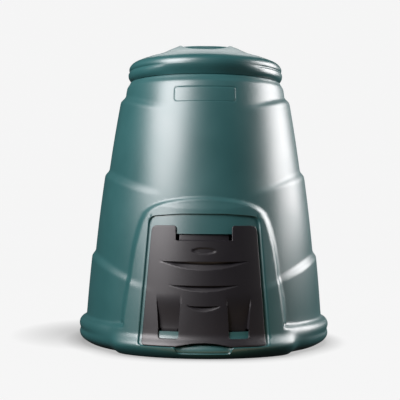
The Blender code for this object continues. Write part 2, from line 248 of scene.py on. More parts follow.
ARCH_OUT, ARCH_IN = arch(ARCH_VALLEY), arch(ARCH_CREST)
CREASE_Z, CREASE_HALF, CREASE_RISE, CREASE_TILT = 396.0, 122.0, 9.0, .14
CROWN_TALL = 21.0  # height of the part that leans back
CLIMB = (.12, .88)  # share of the way from valley to crest where the slope starts and ends
SURROUND_FROM, SURROUND_TO, SURROUND_TURN = 68.0, 440.0, 0.9
LEAN_REACH = 3.0


def above_crease(az, z):
    """Height above the sagging line where the surround starts to lean back under its crown."""
    x = front_x(az, z)
    return z - CREASE_Z - CREASE_RISE * (x / CREASE_HALF) ** 2


def surround(az, z):
    """How far the surround stands out from the plain wall."""
    valley, crest = front_x(az, z, False), front_x(az, z)
    out, inner = -depth_in(ARCH_OUT, valley, z), depth_in(ARCH_IN, crest, z)
    t = np.where(out <= 0, 0, np.where(inner <= 0, 1, out / np.maximum(out + inner, 1e-6)))
    room = CROWN_TALL * np.maximum(1 - (crest / CREASE_HALF) ** 2, 0)
    leant = CREASE_TILT * np.clip(above_crease(az, z), 0, room)
    return (fair(PROUD, z) - leant) * ease(*CLIMB, t)


def skin_r(az, z):
    """Radius of the body's outer face, before the hatch's seat is sunk into it."""
    base = ring_r(az, z)
    wall = smooth_r(z) + ledge_step(az, z)
    near = (z > SURROUND_FROM) & (z < SURROUND_TO) & (np.abs(az) < SURROUND_TURN)
    if near.any():
        wall[near] += surround(az[near], z[near])
    return base + (wall - base) * ease(RING_TOP - RING_FADE, RING_TOP, z)


def lean(az, z):
    """How much longer a radial depth is than the same depth square to the skin."""
    rise = skin_r(az, z + LEAN_REACH) - skin_r(az, np.maximum(z - LEAN_REACH, 0))
    return np.hypot(1, rise / (2 * LEAN_REACH))


print("surround stands out", fair(PROUD, np.array([84.0, 384.0])), "at its foot and its crown")


# %% [markdown]
# Sheets are spun from one upright line, in fine steps at the front and coarser ones behind. Only the right
# half is made, and mirrored when it is done. While it is worked on, the sheet stays on a plain drum, where
# an angle and a height are easy to read off a point.


# %% A half sheet on a drum
DRUM = 340.0


def half_drum(heights, arcs):
    bm = bmesh.new()
    line = [bm.verts.new((0, -DRUM, h)) for h in heights]
    edges = [bm.edges.new(pair) for pair in zip(line, line[1:])]
    geom = line + edges
    for degrees, steps in arcs:
        made = bmesh.ops.spin(bm, geom=geom, cent=(0, 0, 0), axis=(0, 0, 1), dvec=(0, 0, 0),
                              angle=math.radians(degrees), steps=steps, use_merge=False,
                              use_duplicate=False)
        geom = [g for g in made["geom_last"] if isinstance(g, (bmesh.types.BMVert, bmesh.types.BMEdge))]
    return bm


def places(verts):
    co = np.array([v.co for v in verts])
    return np.arctan2(co[:, 0], -co[:, 1]), co[:, 2]


print("sheets are worked on a drum of radius", DRUM)

# %% [markdown]
# A crisp edge needs mesh edges that run along it. So `scribe` cuts the sheet where a field is zero, the way
# a knife cuts a score line, and `drop` takes away what a closed line surrounds.

# %% Score lines
NUDGE = 0.02  # step for measuring a field's slope
SEAM_TURN = .002  # points nearer the seam than this stay on it
FLAT_FIELD = .2  # a field with less slope than this, squared, gives no direction to move in
HALVINGS = 14


def scribe(bm, field, level=0.0, snap=0.35, low=-1e9, high=1e9):
    """Cut a sheet along the line where field equals level, between two heights.

    Points that are already close to the line are moved onto it, and other edges are split where they
    cross it, so that no sliver is left.
    """
    verts = list(bm.verts)
    az, z = places(verts)
    d = field(az, z) - level
    close = (np.abs(d) < snap) & (z > low) & (z < high) & (az > SEAM_TURN)
    if close.any():
        ga = (field(az[close] + NUDGE / DRUM, z[close]) - level - d[close]) / NUDGE
        gz = (field(az[close], z[close] + NUDGE) - level - d[close]) / NUDGE
        size = ga * ga + gz * gz
        ok = size > FLAT_FIELD
        for i, a, b, s in zip(np.flatnonzero(close)[ok], ga[ok], gz[ok], size[ok]):
            if not verts[i].is_boundary:
                turn, rise = az[i] - d[i] * a / s / DRUM, z[i] - d[i] * b / s
                verts[i].co = (DRUM * math.sin(turn), -DRUM * math.cos(turn), rise)
                d[i] = 0.0
    value = dict(zip(verts, d))
    crossing = [e for e in bm.edges
                if value[e.verts[0]] * value[e.verts[1]] < 0
                and min(v.co.z for v in e.verts) >= low - 1e-4
                and max(v.co.z for v in e.verts) <= high + 1e-4]
    if crossing:
        a = np.array([e.verts[0].co for e in crossing])
        b = np.array([e.verts[1].co for e in crossing])
        fa = np.array([value[e.verts[0]] for e in crossing])
        near, far = np.zeros(len(a)), np.ones(len(a))
        for _ in range(HALVINGS):
            mid = (near + far) / 2
            p = a + (b - a) * mid[:, None]
            same = (field(np.arctan2(p[:, 0], -p[:, 1]), p[:, 2]) - level) * fa > 0
            near, far = np.where(same, mid, near), np.where(same, far, mid)
        for e, t in zip(crossing, (near + far) / 2):
            _, new = bmesh.utils.edge_split(e, e.verts[0], float(t))
            value[new] = 0.0
    on_line = {v for v, d in value.items() if abs(d) < 1e-7}
    for f in list({f for v in on_line for f in v.link_faces}):
        middle = f.calc_center_median().z
        on = [v for v in f.verts if v in on_line]
        if len(on) == 2 and low < middle < high and not any(set(e.verts) == set(on) for e in f.edges):
            bmesh.utils.face_split(f, on[0], on[1])


def drop(bm, field):
    """Delete the faces whose middles lie where field is negative."""
    middles = [f.calc_center_median() for f in bm.faces]
    az = np.array([math.atan2(m.x, -m.y) for m in middles])
    gone = field(az, np.array([m.z for m in middles])) < 0
    bmesh.ops.delete(bm, geom=[f for f, g in zip(list(bm.faces), gone) if g], context="FACES")


print("a field's slope is measured over", NUDGE, "mm")

# %% [markdown]
# A sheet gets its real shape last. Each point moves out to the radius that its angle and height ask for, an
# extruded copy inside it makes the wall, and a mirror adds the other half. Working in this order keeps
# every cut exact, because nothing is cut on a curved face.

# %% Rolling a sheet up and finishing a piece
SHARP = math.radians(50)


def roll_up(bm, radius, wall):
    """Give a half sheet its real radius, a wall on the inside, and its mirror image."""
    outer = list(bm.verts)
    az, z = places(outer)
    r = radius(az, z)
    made = bmesh.ops.extrude_face_region(bm, geom=list(bm.faces), use_keep_orig=True)
    inner = [g for g in made["geom"] if isinstance(g, bmesh.types.BMVert)]
    iaz, iz = places(inner)
    ir = radius(iaz, iz) - wall(iaz, iz)
    for verts, turn, height, out in ((outer, az, z, r), (inner, iaz, iz, ir)):
        for v, a, h, k in zip(verts, turn, height, out):
            v.co = (k * MM * math.sin(a), AXIS_Y - k * MM * math.cos(a), h * MM)
    seam = [f for f in bm.faces if all(abs(v.co.x) < 1e-6 for v in f.verts)]
    bmesh.ops.delete(bm, geom=seam, context="FACES_ONLY")
    for v in bm.verts:
        if abs(v.co.x) < 1e-6:
            v.co.x = 0
    bmesh.ops.mirror(bm, geom=list(bm.verts) + list(bm.edges) + list(bm.faces), matrix=Matrix(),
                     merge_dist=1e-6, axis="X")
    bmesh.ops.recalc_face_normals(bm, faces=bm.faces)


def piece(name, bm, body, *stands_for):
    """Turn a bmesh into an object that rides on a body and stands for CAD nodes."""
    mesh = bpy.data.meshes.new(name)
    bm.to_mesh(mesh)
    bm.free()
    mesh.shade_smooth()
    mesh.set_sharp_from_angle(angle=SHARP)
    obj = bpy.data.objects.new(name, mesh)
    bpy.context.scene.collection.objects.link(obj)
    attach(obj, body)
    if stands_for:
        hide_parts(*stands_for)
    co = np.array([v.co for v in mesh.vertices])
    print(name, len(mesh.polygons), "faces", co.min(0).round(4), co.max(0).round(4))
    return obj


print("edges sharper than", round(math.degrees(SHARP)), "degrees stay crisp")


# %% [markdown]
# The hatch lies in a shallow seat, so the seat's outline is sunk by the hatch's own thickness and a
# millimetre of play. Its edge is a slope 2.6 mm wide with a rounded brow, as a mould leaves it. Under the
# hatch's lower edge a deeper scoop lets fingers in, and the doorway itself is cut right through.

# %% Seat, scoop, doorway and name plate
SEAT_FOOT, SEAT_TOP, SEAT_FOOT_HALF, SEAT_TOP_HALF = 33.0, 377.0, 176.5, 151.0
SEAT_CROWN_HALF, SEAT_CROWN = 60.0, 6.5  # the seat's top edge rises towards its middle
SILL, LINTEL, SEAT_LAP, HATCH_LIFT = 71.0, 330.0, 23.5, 17.0


def tapered(low, high, less, radii):
    """A rounded outline with the taper of the seat, so much inside its sides."""
    taper = (SEAT_FOOT_HALF - SEAT_TOP_HALF) / (SEAT_TOP - SEAT_FOOT)
    one, two = (SEAT_FOOT_HALF - taper * (z - SEAT_FOOT) - less for z in (low, high))
    return rounded(((-one, low), (one, low), (two, high), (-two, high)), radii)


SEAT = rounded(((-SEAT_FOOT_HALF, SEAT_FOOT), (SEAT_FOOT_HALF, SEAT_FOOT), (SEAT_TOP_HALF, SEAT_TOP),
                (SEAT_CROWN_HALF, SEAT_TOP + SEAT_CROWN), (-SEAT_CROWN_HALF, SEAT_TOP + SEAT_CROWN),
                (-SEAT_TOP_HALF, SEAT_TOP)), (10, 10, 24, 60, 60, 24))
FINGERS = rounded(((-70, 16), (70, 16), (86, 52), (-86, 52)), (9, 9, 6, 6))
DOOR = tapered(SILL, LINTEL, SEAT_LAP, (8, 8, 10, 10))
PLATE = rounded(((-86, 698.5), (86, 698.5), (86, 739.5), (-86, 739.5)), (6, 6, 6, 6))
BROW = 1.3
PLATE_LINE, PLATE_DEEP = .9, .6
FIELD_TURN, FIELD_FAR = .85, 50.0  # a front outline is worked out within this angle only
POCKET_FOOT, POCKET_RISE, POCKET_HALF = 30.5, 6.0, 78.0
FINGER_DEEP, FINGER_CLIMB, FINGER_SOFT = 8.0, (18, 36), 8.0
POCKET_DEEP, POCKET_SOFT = 18.0, 3.0
RIM_THICK, RIM_TALL = 8.0, 12.0  # extra thickness of the rim that stands on the soil
MOUTH_THIN, LEAN_MOST = 2.0, 1.6


def on_front(outline, low, high, proud=True):
    """Distance from an outline drawn on the bin's front, worked out only near it."""
    def field(az, z):
        out = np.full(np.shape(z), FIELD_FAR)
        near = (z > low) & (z < high) & (np.abs(az) < FIELD_TURN)
        out[near] = depth_in(outline, front_x(az[near], z[near], proud), z[near])
        return out
    return field


valley_edge, crest_edge = on_front(ARCH_OUT, 60, 460, False), on_front(ARCH_IN, 60, 460)
finger_edge, door_edge = on_front(FINGERS, -20, 120), on_front(DOOR, 30, 400)
plate_edge, flat_edge = on_front(PLATE, 660, 780, False), on_front(SEAT, -20, 440)


def seat_edge(az, z):
    """Distance from the edge of all that is sunk: the hatch's seat with the finger scoop under it."""
    return np.minimum(flat_edge(az, z), finger_edge(az, z))


def pocket_edge(az, z):
    """Height above the arc from which the scoop goes deep, behind the hatch's own arch."""
    return z - POCKET_FOOT - POCKET_RISE * np.maximum(1 - (front_x(az, z) / POCKET_HALF) ** 2, 0)


def pocket_line(az, z):
    """The same arc, ended where it leaves the scoop."""
    return np.maximum(pocket_edge(az, z), finger_edge(az, z))


def crease_edge(az, z):
    return np.maximum(above_crease(az, z), np.abs(front_x(az, z)) - CREASE_HALF - 6)


def body_r(az, z):
    sunk = RECESS * (1 - ease(-BROW, BROW, seat_edge(az, z)))
    scoop = FINGER_DEEP * ease(*FINGER_CLIMB, z) + POCKET_DEEP * ease(0, POCKET_SOFT, pocket_edge(az, z))
    scoop = scoop * ease(0, FINGER_SOFT, -finger_edge(az, z))
    engraved = PLATE_DEEP * (1 - ease(0, PLATE_LINE, np.abs(plate_edge(az, z))))
    return skin_r(az, z) - sunk * lean(az, z) - scoop - engraved


def body_wall(az, z):
    rim = RIM_THICK * (1 - ease(0, RIM_TALL, z))
    wall = WALL - MOUTH_THIN * ease(NECK_TOP, MOUTH, z)
    return wall * np.minimum(lean(az, z), LEAN_MOST) + rim


print("doorway", SILL, "to", LINTEL, "and seat", SEAT_FOOT, "to", SEAT_TOP)


# %% [markdown]
# The rows of the sheet lie close where the shape turns quickly: at the rim, the beads and the shoulder.
# No row runs near the seat's top edge, which is almost level, because points snapped to it from one row
# and then from another would leave a kink.


# %% Body
def spaced(start, stop, pitch):
    return list(np.linspace(start, stop, max(int(round((stop - start) / pitch)), 1) + 1)[:-1])


CLEAR_BELOW, CLEAR_ABOVE = SEAT_TOP - 3, SEAT_TOP + 10
heights = [*spaced(0, 4, 1), *spaced(4, RING_TOP, 3.2), *spaced(RING_TOP, CLEAR_BELOW, 5), CLEAR_BELOW,
           *spaced(CLEAR_ABOVE, SURROUND_TO, 4.4), *spaced(SURROUND_TO, SHOULDER_FOOT, 5.6),
           *spaced(SHOULDER_FOOT, NECK_FOOT, 2.4), *spaced(NECK_FOOT, NECK_TOP, 6),
           *spaced(NECK_TOP, MOUTH, 1), MOUTH]
shell = half_drum(heights, ((52, 44), (128, 50)))
scribe(shell, valley_edge)
scribe(shell, crest_edge)
scribe(shell, crease_edge, 0, .35, CREASE_Z - 8, CREASE_Z + 14)
for level in (-BROW, -BROW * .45, BROW * .45, BROW):
    scribe(shell, seat_edge, level)
for level in (0, POCKET_SOFT):
    scribe(shell, pocket_line, level, .35, 24, 50)
for level in (-PLATE_LINE, 0, PLATE_LINE):
    scribe(shell, plate_edge, level, .25)
scribe(shell, door_edge)
drop(shell, door_edge)
roll_up(shell, body_r, body_wall)
body = piece("body_shell", shell, "body", "body")

# %% [markdown]
# The hatch is a thin curved plate that lies flush with the surround. At the top a tongue passes behind
# the green panel while two ears lie in front of it; at the bottom two legs pass behind the sill while a
# strip lies in front. Crescent vents are pressed into its middle, deepest under their upper lips.

# %% Hatch outline
SIDE_GAP, EAR_GAP, LIFT_PLAY = 9.5, 7.3, 0.5
HATCH_FOOT, EAR_TOP = SEAT_FOOT + 1.5, SEAT_TOP - HATCH_LIFT - EAR_GAP
HATCH = tapered(HATCH_FOOT, EAR_TOP, SIDE_GAP, (8, 8, 17, 17))
NOTCH_FLOOR, TONGUE_TOP = LINTEL - HATCH_LIFT - LIFT_PLAY, LINTEL + HATCH_LIFT
NOTCH_HALF, FLARE_HALF, OVER = 76, 100, 400  # the notch flares above the ears, which rounds them
NOTCH = rounded(((-NOTCH_HALF, NOTCH_FLOOR), (NOTCH_HALF, NOTCH_FLOOR), (NOTCH_HALF, EAR_TOP),
                 (FLARE_HALF, EAR_TOP), (FLARE_HALF, OVER), (-FLARE_HALF, OVER), (-FLARE_HALF, EAR_TOP),
                 (-NOTCH_HALF, EAR_TOP)), (2, 2, 9, 1, 1, 1, 1, 9))
TONGUE = rounded(((-70.5, 300), (70.5, 300), (69, TONGUE_TOP), (-69, TONGUE_TOP)), (2, 2, 6, 6))
COLUMN_TOP, COLUMN_FOOT, COLUMN_FLARE = 171.0, SILL + 6, 8
LEG_END, WINDOW_FLOOR = SILL - HATCH_LIFT + 4, SILL - HATCH_LIFT - LIFT_PLAY
NEAR, FAR, LEG_PLAY = 67, 121, 4  # a window's two sides, and how much narrower the leg in it is
COLUMN = np.array(((FAR, 60), (FAR, COLUMN_FOOT), (FAR + COLUMN_FLARE, COLUMN_TOP + 12),
                   (NEAR - COLUMN_FLARE, COLUMN_TOP + 12), (NEAR, COLUMN_FOOT), (NEAR, 60)), float)
LEG = rounded(((FAR - LEG_PLAY, LEG_END), (FAR - LEG_PLAY, 90), (NEAR + LEG_PLAY, 90),
               (NEAR + LEG_PLAY, LEG_END)), (4, 2, 2, 4))
WINDOW = rounded(((FAR, WINDOW_FLOOR), (FAR, COLUMN_FOOT), (NEAR, COLUMN_FOOT), (NEAR, WINDOW_FLOOR)),
                 (6, 2, 2, 6))
PULL_HALF, PULL_FOOT, PULL_TALL = 84.0, 31.0, 13.5
PULL = np.array([(PULL_HALF * t, PULL_FOOT + PULL_TALL * (1 - t * t)) for t in np.linspace(1, -1, 25)]
                + [(-PULL_HALF, 20), (PULL_HALF, 20)])


def hatch_edge(az, z):
    """Distance from the hatch's own outline, with its notch, windows and finger cut taken out."""
    x = front_x(az, z)
    plate = np.maximum.reduce([depth_in(HATCH, x, z), -depth_in(NOTCH, x, z), -depth_in(PULL, x, z),
                               -depth_in(WINDOW, x, z)])
    return np.minimum.reduce([plate, depth_in(TONGUE, x, z), depth_in(LEG, x, z)])


print("hatch from", HATCH_FOOT, "to its ears at", round(EAR_TOP, 1), "and its tongue at", TONGUE_TOP)

# %% [markdown]
# Each vent is a crescent: a nearly straight edge above, an arc below, and a fold between them. The face
# turns in from the upper edge to the fold, so it lies in shade, and comes back out to the lower arc.

# %% Vents, columns and badge
VENTS = ((120, 257, 247.6, 233.5), (95, 193.8, 187.5, 176.5), (48, 139.9, 135.5, 124.8))
# each: half width, height of its tips, and the lowest heights of its fold and of its lower arc
VENT_SAG, VENT_DEEP, VENT_FULL = 1.0, 7.5, 14.0
BADGE_AT, BADGE_WIDE, BADGE_TALL = 284.5, 36.0, 9.0
BADGE_DEEP, BADGE_SOFT = 2.4, 2.6
COLUMN_SOFT, TONGUE_HALF, BEND = 1.8, 73, 1.2


def vent_lines(vent, az, z):
    """Height above a vent's lower arc, above its fold and above its upper edge."""
    tip, ends, fold, foot = vent
    bow = 1 - np.minimum((front_x(az, z) / tip) ** 2, 1)
    return [z - ends + (ends - at) * bow for at in (foot, fold, ends - VENT_SAG)]


def vent_edge(vent):
    def field(az, z):
        low, _, high = vent_lines(vent, az, z)
        return np.maximum(high, -low)
    return field


def vent_fold(vent):
    return lambda az, z: vent_lines(vent, az, z)[1]


def column_in(az, z):
    return -depth_in(COLUMN, front_x(az, z), z)


def badge_edge(az, z):
    x = front_x(az, z)
    return (np.hypot(x / BADGE_WIDE, (z - BADGE_AT) / BADGE_TALL) - 1) * BADGE_TALL


def hatch_sunk(az, z):
    """How far the hatch's face lies behind the surround's skin."""
    x = front_x(az, z)
    sunk = LEG_HOOK * (1 - ease(COLUMN_FOOT, COLUMN_TOP, z)) * ease(0, COLUMN_SOFT, column_in(az, z))
    sunk = np.where(z < COLUMN_FOOT - .01, 0, sunk)
    for vent in VENTS:
        low, fold, high = vent_lines(vent, az, z)
        deep = VENT_DEEP * np.clip((low - high) / VENT_FULL, 0, 1)
        rising = np.clip(low / np.maximum(low - fold, .1), 0, 1)
        falling = np.clip(-high / np.maximum(fold - high, .1), 0, 1)
        sunk = np.maximum(sunk, deep * np.minimum(rising, falling))
    sunk = sunk + BADGE_DEEP * ease(0, BADGE_SOFT, -badge_edge(az, z))
    tongue = (np.abs(x) < TONGUE_HALF) & (z > NOTCH_FLOOR - 5 * BEND)
    return np.where(tongue, sunk + HOOK * ease(NOTCH_FLOOR - BEND, NOTCH_FLOOR + BEND, z), sunk)


print(len(VENTS), "vents, the deepest", VENT_DEEP, "deep")

# %% [markdown]
# The hatch's outer edge is rounded over, and its back stays plain. Its legs hang straight down, so they
# keep the radius that the column has at its foot and don't follow the beads of the ring below.

# %% Hatch face and thickness
EDGE_ROUND = 1.2


def edge_brow(az, z):
    """How far the rounded edge falls back from the face."""
    inside = np.clip(-hatch_edge(az, z), 0, EDGE_ROUND)
    return EDGE_ROUND - np.sqrt(np.maximum(EDGE_ROUND ** 2 - (EDGE_ROUND - inside) ** 2, 0))


def on_leg(az, z):
    return (z < COLUMN_FOOT + .01) & (depth_in(LEG, front_x(az, z), z) < .02)


def hatch_r(az, z):
    behind = skin_r(az, np.full_like(z, COLUMN_FOOT)) - LEG_HOOK
    return np.where(on_leg(az, z), behind, skin_r(az, z) - hatch_sunk(az, z)) - edge_brow(az, z)


def hatch_wall(az, z):
    """Thickness, less by what the rounded edge takes off the face, so that the back stays plain."""
    return HATCH_WALL * np.where(on_leg(az, z), 1, lean(az, z)) - edge_brow(az, z)


print("hatch wall", HATCH_WALL, "with edges rounded over", EDGE_ROUND)

# %% Hatch
HATCH_LOW, HATCH_HIGH, STRIP_TOP = 28, 358, 62
rows = [*spaced(HATCH_LOW, STRIP_TOP, 3), *spaced(STRIP_TOP, COLUMN_FOOT, 2.5),
        *spaced(COLUMN_FOOT, NOTCH_FLOOR - BEND, 3.2), *spaced(NOTCH_FLOOR - BEND, NOTCH_FLOOR + BEND, .6),
        *spaced(NOTCH_FLOOR + BEND, HATCH_HIGH, 3.2), HATCH_HIGH]
plate = half_drum(rows, ((31, 58),))
scribe(plate, hatch_edge, 0, .3)
drop(plate, lambda az, z: -hatch_edge(az, z))
for level in (-.35, -EDGE_ROUND):
    scribe(plate, hatch_edge, level, .12)
for level in (0, .7, COLUMN_SOFT):
    scribe(plate, column_in, level, .3, COLUMN_FOOT, COLUMN_TOP + 14)
for vent in VENTS:
    scribe(plate, vent_edge(vent), 0, .3)
    scribe(plate, vent_fold(vent), 0, .3, vent[3], vent[1])
for level in (0, -BADGE_SOFT / 2, -BADGE_SOFT):
    scribe(plate, badge_edge, level, .3)
roll_up(plate, hatch_r, hatch_wall)
hatch = piece("hatch_plate", plate, "hatch", "hatch")

# %% [markdown]
# The lid is a shallow dish turned upside down, with a doubled bead round its rim. Two scoops leave a grip
# bar between them, undercut so that fingers curl beneath it. Its profile has two parts: the dome, then the
# beads. At the front the groove between the beads fades, so the beads have a second profile there.

# %% Lid profile
DOME = ((0, 893), (30, 892.5), (60, 891.1), (75, 889.6), (90, 886.2), (103, 880.6), (119, 872.2),
        (130, 867), (140, 862.8), (160, 855.8), (180, 849.8), (196, 843.8))
RIM = ((201.6, 841.6), (208, 839), (214.5, 836.2), (220.5, 832.8), (226, 828), (230, 822), (231.8, 816.5),
       (231, 811.5), (229.6, 808.6), (231.3, 805.5), (233.6, 801.5), (234, 797.5), (233.2, 791.5),
       (230.8, 786), (227.2, 781.3), (223.8, 778.3))
RIM_FRONT = ((201.6, 841.6), (208, 839), (214.5, 836.2), (220.5, 832.8), (226.5, 828.8), (230.8, 823.8),
             (233.2, 818.4), (234.2, 813), (234.3, 808.6), (233.7, 804.4), (232.6, 800.2), (231.1, 796),
             (229.3, 791.6), (227.3, 787), (225.5, 782.6), (223.8, 778.3))
GROOVE_FADE = (24, 50)  # degrees from the front over which the groove between the beads appears


def rim_point(s, az):
    """A place on the beads, with s from 0 where the dome ends to 1 at the lip."""
    at = np.linspace(0, 1, len(RIM))
    front = 1 - ease(*GROOVE_FADE, np.abs(np.degrees(az)))
    out = []
    for axis in (0, 1):
        sides = fair([(t, p[axis]) for t, p in zip(at, RIM)], s)
        ahead = fair([(t, p[axis]) for t, p in zip(at, RIM_FRONT)], s)
        out.append(sides + (ahead - sides) * front)
    return out


print("lid top and lip", DOME[0][1], RIM[-1])

# %% [markdown]
# A scoop is a D: a straight side under the grip bar and a long round side that runs out flush with the
# lid's slope. Its floor is almost flat, so the wall is high next to the bar and nothing at the far end.

# %% Lid scoops
BAR_HALF, SCOOP_HALF, SCOOP_FAR = 26.0, 76.0, 152.0
BAR_ROUND, BAR_FLAT, BAR_FAR = 10.0, 6.0, 60.0  # how far the bar's brow falls, and from where to where
BAR_ENDS = (-30, 24)  # distances inside the scoop's side over which the brow appears
SCOOP_FLOOR = ((26, 842.5), (90, 844), (125, 848), (152, 859))  # distance from the middle, and height
BAR_SIDE, SCOOP_SIDE = 5.0, 13.0  # widths of the scoop's straight side and of its round one
UNDERCUT, UNDERCUT_DEPTHS, UNDERCUT_OUT, UNDERCUT_ENDS = 13.0, (.12, .7), (5, 34), (4, 22)


def scoop_round(x, y):
    """Distance inside the round side of a scoop."""
    reach = np.maximum(np.abs(y) - BAR_HALF, 0)
    return (1 - np.hypot(x / SCOOP_HALF, reach / (SCOOP_FAR - BAR_HALF))) * SCOOP_HALF


def lid_top(x, y):
    """Height of the lid's upper face, and how far the undercut pulls a point under the bar."""
    dome = fair(DOME, np.hypot(x, y))
    past = np.abs(y) - BAR_HALF
    brow = ease(BAR_FLAT, BAR_HALF, np.abs(y)) * (1 - ease(BAR_HALF, BAR_FAR, np.abs(y)))
    dome = dome - BAR_ROUND * brow * ease(*BAR_ENDS, SCOOP_HALF - np.abs(x))
    floor = fair(SCOOP_FLOOR, np.abs(y))
    within = scoop_round(x, y)
    sunk = ease(0, BAR_SIDE, past) * ease(0, SCOOP_SIDE, within)
    z = dome + (np.minimum(floor, dome) - dome) * sunk
    under = ease(*UNDERCUT_DEPTHS, sunk) * (1 - ease(*UNDERCUT_OUT, past))
    return z, UNDERCUT * under * ease(*UNDERCUT_ENDS, within)


print("grip bar", 2 * BAR_HALF, "wide, with scoops", 2 * SCOOP_HALF, "across")

# %% [markdown]
# The whole lid is one disc, spun round its middle and cut along the bar and the scoops. Inside `DISC` a
# point keeps its place and takes the height of the lid's upper face. Past it the distance only says how
# far round the beads a point lies. Solidify then gives the sheet its wall.


# %% Lid
DISC = RIM[0][0]
RIM_SPAN, RIM_STEPS = 100.0, 44
NO_SCOOP, ON_LINE = -9.0, .02


def bar_edge(x, y):
    return BAR_HALF - np.abs(y)


def scoop_edge(x, y):
    return np.where(np.abs(y) > BAR_HALF - 1, scoop_round(x, y), NO_SCOOP)


def lid_scribe(bm, field, level):
    """Cut the lid's flat disc along a line, as the sheets were cut."""
    value = {v: float(field(v.co.x, v.co.y)) - level for v in bm.verts}
    for e in list(bm.edges):
        a, b = value[e.verts[0]], value[e.verts[1]]
        if a * b < 0 and min(abs(a), abs(b)) > ON_LINE and max(v.co.length for v in e.verts) < DISC:
            _, new = bmesh.utils.edge_split(e, e.verts[0], a / (a - b))
            value[new] = 0.0
    for f in list(bm.faces):
        on = [v for v in f.verts if abs(value[v]) <= ON_LINE]
        if len(on) == 2 and not any(set(e.verts) == set(on) for e in f.edges):
            bmesh.utils.face_split(f, on[0], on[1])


radii = [*spaced(4, 20, 4), *spaced(20, 160, 3), *spaced(160, DISC, 5), DISC]
radii += [DISC + RIM_SPAN * (k + 1) / RIM_STEPS for k in range(RIM_STEPS)]
disc = bmesh.new()
spoke = [disc.verts.new((0, -r, 0)) for r in radii]
geom = spoke + [disc.edges.new(pair) for pair in zip(spoke, spoke[1:])]
bmesh.ops.spin(disc, geom=geom, cent=(0, 0, 0), axis=(0, 0, 1), dvec=(0, 0, 0), angle=2 * math.pi,
               steps=180, use_merge=True, use_duplicate=False)
bmesh.ops.remove_doubles(disc, verts=disc.verts, dist=1e-4)
hole = [e for e in disc.edges if e.is_boundary and max(v.co.length for v in e.verts) < 5]
bmesh.ops.contextual_create(disc, geom=hole)
hub = [f for f in disc.faces if len(f.verts) > 8]
bmesh.ops.poke(disc, faces=hub)
for level in (-5, -3.4, -2, -1, 0):
    lid_scribe(disc, bar_edge, level)
for level in (0, 4, 9, SCOOP_SIDE):
    lid_scribe(disc, scoop_edge, level)
flat = np.array([v.co for v in disc.verts])
r, az = np.hypot(flat[:, 0], flat[:, 1]), np.arctan2(flat[:, 0], -flat[:, 1])
top, pull = lid_top(flat[:, 0], flat[:, 1])
rim_r, rim_z = rim_point(np.clip((r - DISC) / RIM_SPAN, 0, 1), az)
for v, p, on_rim, z, shift, rr, rz in zip(disc.verts, flat, r > DISC - .01, top, pull, rim_r, rim_z):
    if on_rim:
        turn = math.atan2(p[0], -p[1])
        v.co = (rr * math.sin(turn) * MM, AXIS_Y - rr * math.cos(turn) * MM, rz * MM)
    else:
        v.co = (p[0] * MM, AXIS_Y + (p[1] - math.copysign(shift, p[1])) * MM, z * MM)
bmesh.ops.recalc_face_normals(disc, faces=disc.faces)
if sum(f.normal.z * f.calc_area() for f in disc.faces) < 0:
    bmesh.ops.reverse_faces(disc, faces=disc.faces)
lid = piece("lid_cap", disc, "lid", "lid")
shell_wall = lid.modifiers.new("wall", "SOLIDIFY")
shell_wall.thickness, shell_wall.offset, shell_wall.use_even_offset = LID_WALL * MM, -1, True

# %% [markdown]
# All three pieces are moulded polyethylene with a fine etched grain. The grain is a small bump. Gloss and
# colour drift very slightly from place to place, as they do in recycled plastic.


# %% Moulded plastic
DRIFT, FLECK, GRAIN = (9, 5), (420, 3), (1100, 2)  # scale and detail of the three patterns
FLECK_SHARE, TINT_FROM, TINT_TO = .35, .45, .9
GLOSS_SPREAD, GRAIN_STRENGTH, GRAIN_TALL = .05, .12, .0004


def plastic(name, colour, rough, mottle, level):
    """A moulded finish: mottle is how far the colour drifts, level how strongly the surface shines."""
    mat = bpy.data.materials.new(name)
    mat.use_nodes = True
    nodes, links = mat.node_tree.nodes, mat.node_tree.links
    bsdf = nodes["Principled BSDF"]
    where = nodes.new("ShaderNodeTexCoord")
    drift, fleck, grain = (nodes.new("ShaderNodeTexNoise") for _ in range(3))
    for node, (scale, detail) in ((drift, DRIFT), (fleck, FLECK), (grain, GRAIN)):
        node.inputs["Scale"].default_value, node.inputs["Detail"].default_value = scale, detail
        links.new(where.outputs["Object"], node.inputs["Vector"])
    blend = nodes.new("ShaderNodeMath")
    blend.operation, blend.inputs[1].default_value = "MULTIPLY_ADD", FLECK_SHARE
    links.new(fleck.outputs["Fac"], blend.inputs[0])
    links.new(drift.outputs["Fac"], blend.inputs[2])
    tint = nodes.new("ShaderNodeValToRGB")
    for stop, at, share in zip(tint.color_ramp.elements, (TINT_FROM, TINT_TO), (1 - mottle, 1 + mottle)):
        stop.position = at
        stop.color = (*(c * share for c in colour), 1)
    links.new(blend.outputs[0], tint.inputs["Fac"])
    links.new(tint.outputs["Color"], bsdf.inputs["Base Color"])
    gloss = nodes.new("ShaderNodeMapRange")
    gloss.inputs["To Min"].default_value = rough - GLOSS_SPREAD
    gloss.inputs["To Max"].default_value = rough + GLOSS_SPREAD
    links.new(drift.outputs["Fac"], gloss.inputs["Value"])
    links.new(gloss.outputs["Result"], bsdf.inputs["Roughness"])
    bump = nodes.new("ShaderNodeBump")
    bump.inputs["Strength"].default_value = GRAIN_STRENGTH
    bump.inputs["Distance"].default_value = GRAIN_TALL
    links.new(grain.outputs["Fac"], bump.inputs["Height"])
    links.new(bump.outputs["Normal"], bsdf.inputs["Normal"])
    bsdf.inputs["Specular IOR Level"].default_value = level
    return mat


